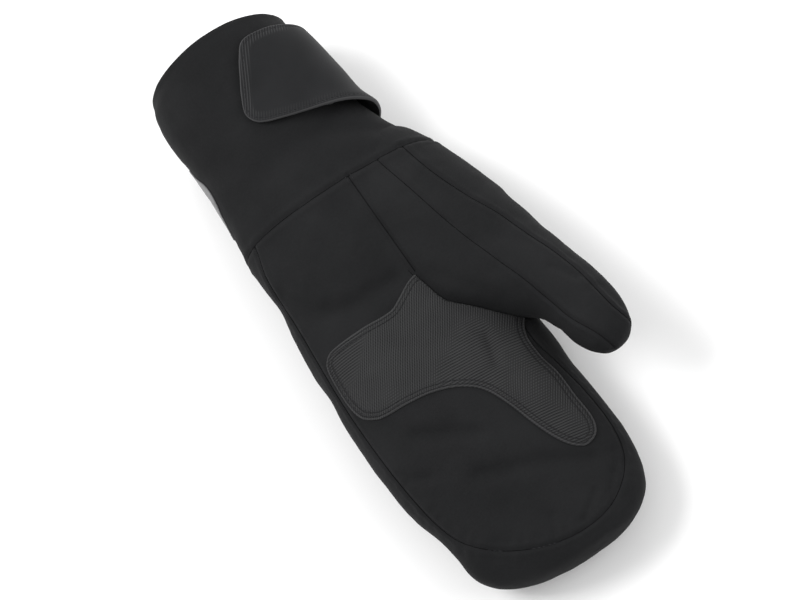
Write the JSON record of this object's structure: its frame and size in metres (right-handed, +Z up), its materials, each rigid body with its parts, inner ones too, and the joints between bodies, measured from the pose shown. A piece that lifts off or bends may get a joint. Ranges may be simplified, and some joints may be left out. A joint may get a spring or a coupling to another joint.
{
  "type": "waterproof overglove",
  "caption": "Left-hand waterproof overmitten with a long cuff, woven grip patch, side flash and a wide closure strap, lying palm up.",
  "frame": {"origin": "on the flat that the back of the hand rests on, under the middle of the glove's length", "axes": "+Z up out of the palm, -Y towards the fingertips, +Y out of the cuff, +X towards the thumb"},
  "size_m": [0.1574, 0.3483, 0.0778],
  "materials": {
    "shell_cloth": "matte black softshell, very fine plain weave",
    "grip_weave": "charcoal twill, slightly rubbery, twin-stitched edge",
    "reflective_tape": "grey reflective tape, satin",
    "hook_pile": "matte black hook-and-loop pile",
    "coated_strap": "smooth coated strap, bound and stitched edge"
  },
  "bodies": {
    "root": {"gauntlet": "shell_cloth", "palm_panel": "shell_cloth", "back_panel": "shell_cloth", "thumb_inner_panel": "shell_cloth", "thumb_front_panel": "shell_cloth", "thumb_outer_panel": "shell_cloth", "grip_patch": "grip_weave", "side_flash": "reflective_tape", "fastener_pad": "hook_pile", "cuff_strap": "coated_strap"}
  },
  "joints": []
}
